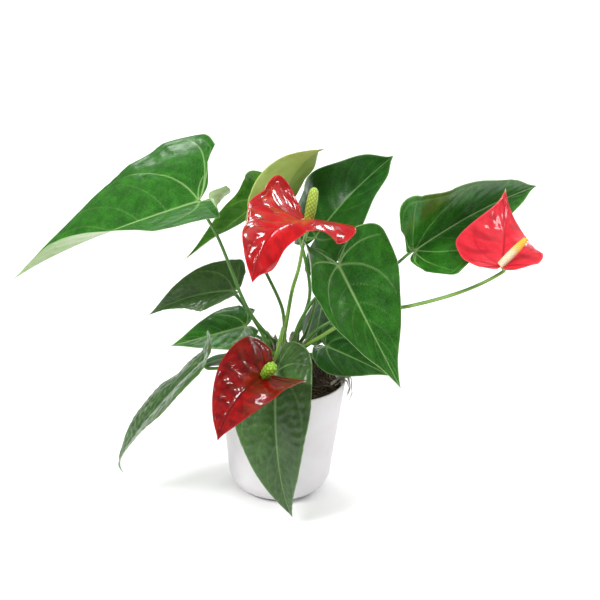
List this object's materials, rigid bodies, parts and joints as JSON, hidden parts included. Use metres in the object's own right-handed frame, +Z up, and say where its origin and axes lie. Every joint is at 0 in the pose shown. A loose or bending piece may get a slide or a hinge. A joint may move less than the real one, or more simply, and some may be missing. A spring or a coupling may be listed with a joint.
{
  "type": "potted anthurium plant",
  "caption": "Potted anthurium in a plain white tapered pot: heart-shaped green leaves and red waxy spathes with rod-shaped spadices on arching stems.",
  "frame": {"origin": "centre of the pot's flat base, where it rests on the floor", "axes": "+Z up; the plant's face looks along -Y; +X is to the viewer's right"},
  "size_m": [0.5248, 0.3159, 0.3659],
  "materials": {
    "pot_white": "satin moulded white",
    "peat_mix": "dark fibrous peat and bark mix",
    "crown_brown": "green-brown plant crown",
    "leaf_green": "waxy deep green leaf",
    "young_leaf": "soft yellow-green young leaf",
    "stem_green": "smooth green stalk",
    "spathe_red": "lacquered red spathe",
    "spathe_dark": "lacquered dark red spathe",
    "spathe_coral": "waxy coral red spathe",
    "spadix_green": "matt bumpy yellow-green",
    "spadix_yellow": "matt bumpy cream and yellow",
    "dry_sheath": "dry papery grey-brown"
  },
  "bodies": {
    "root": {"cover_pot": "pot_white", "potting_mix": "peat_mix", "crown": "crown_brown", "leaf_01": "leaf_green", "leaf_02": "leaf_green", "leaf_03": "young_leaf", "leaf_04": "leaf_green", "leaf_05": "leaf_green", "leaf_06": "leaf_green", "leaf_07": "leaf_green", "leaf_08": "leaf_green", "leaf_09": "leaf_green", "leaf_10": "leaf_green", "leaf_11": "leaf_green", "leaf_12": "leaf_green", "leaf_13": "leaf_green", "petiole_01": "stem_green", "petiole_02": "stem_green", "petiole_03": "stem_green", "petiole_04": "stem_green", "petiole_05": "stem_green", "petiole_06": "stem_green", "petiole_07": "stem_green", "petiole_08": "stem_green", "petiole_09": "stem_green", "petiole_10": "stem_green", "petiole_11": "stem_green", "petiole_12": "stem_green", "petiole_13": "stem_green", "spathe_1": "spathe_red", "spathe_2": "spathe_dark", "spathe_3": "spathe_coral", "peduncle_1": "stem_green", "peduncle_2": "stem_green", "peduncle_3": "stem_green", "spadix_1": "spadix_green", "spadix_2": "spadix_green", "spadix_3": "spadix_yellow", "dried_sheath": "dry_sheath"}
  },
  "joints": []
}
